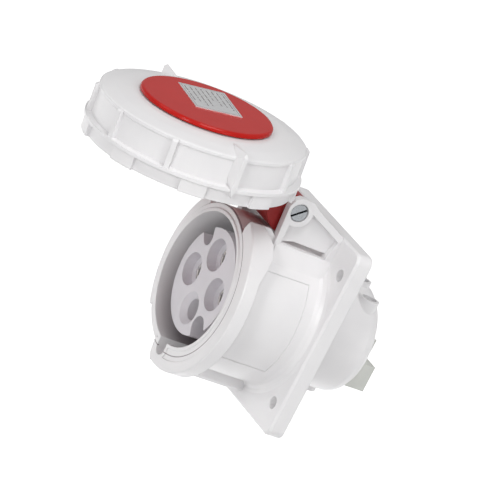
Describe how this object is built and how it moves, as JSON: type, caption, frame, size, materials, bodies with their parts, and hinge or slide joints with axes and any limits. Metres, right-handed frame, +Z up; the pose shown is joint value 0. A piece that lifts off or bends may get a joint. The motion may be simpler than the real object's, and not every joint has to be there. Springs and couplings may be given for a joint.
{
  "type": "industrial panel socket",
  "caption": "Panel-mounted round industrial socket with a hinged red lid, a white bayonet locking ring, a flange with four fixing holes and a rear terminal carrier.",
  "frame": {"origin": "centre of the back of the mounting flange, on the socket axis", "axes": "-Y points out of the socket towards the plug, +Z is up towards the hinge, +X is right seen from the front"},
  "size_m": [0.0948, 0.1646, 0.1164],
  "materials": {
    "white_plastic": "satin moulded",
    "carrier_plastic": "satin moulded",
    "grey_plastic": "satin moulded",
    "red_plastic": "satin moulded",
    "red_gloss": "gloss moulded",
    "label_silver": "satin foil",
    "black_rubber": "matte",
    "zinc_steel": "zinc plated",
    "plated_brass": "nickel plated"
  },
  "bodies": {
    "base": {"housing": "white_plastic", "rear_carrier": "white_plastic", "contact_carrier": "carrier_plastic", "cable_guide": "grey_plastic", "panel_gasket": "black_rubber", "hinge_screw": "zinc_steel", "hinge_nut": "zinc_steel", "carrier_screw_upper": "zinc_steel", "carrier_screw_lower": "zinc_steel", "contact_sleeve_line_1": "plated_brass", "terminal_screw_line_1": "zinc_steel", "contact_sleeve_line_2": "plated_brass", "terminal_screw_line_2": "zinc_steel", "contact_sleeve_line_3": "plated_brass", "terminal_screw_line_3": "zinc_steel", "contact_sleeve_earth": "plated_brass", "terminal_screw_earth": "zinc_steel"},
    "lid": {"lid_cap": "red_plastic", "lid_gasket": "black_rubber", "lid_disc": "red_gloss", "label_plate": "label_silver"},
    "ring": {"locking_ring": "white_plastic"}
  },
  "joints": [
    {"name": "lid_hinge", "type": "hinge", "parent": "base", "child": "lid", "pos_m": [0, -0.03095, 0.046], "axis": [1, 0, 0], "range_deg": [-22.7, 82.3]},
    {"name": "ring_turn", "type": "hinge", "parent": "lid", "child": "ring", "pos_m": [0, -0.07239, 0.00917], "axis": [0, -0.134, 0.991], "range_deg": [0, 48]}
  ]
}
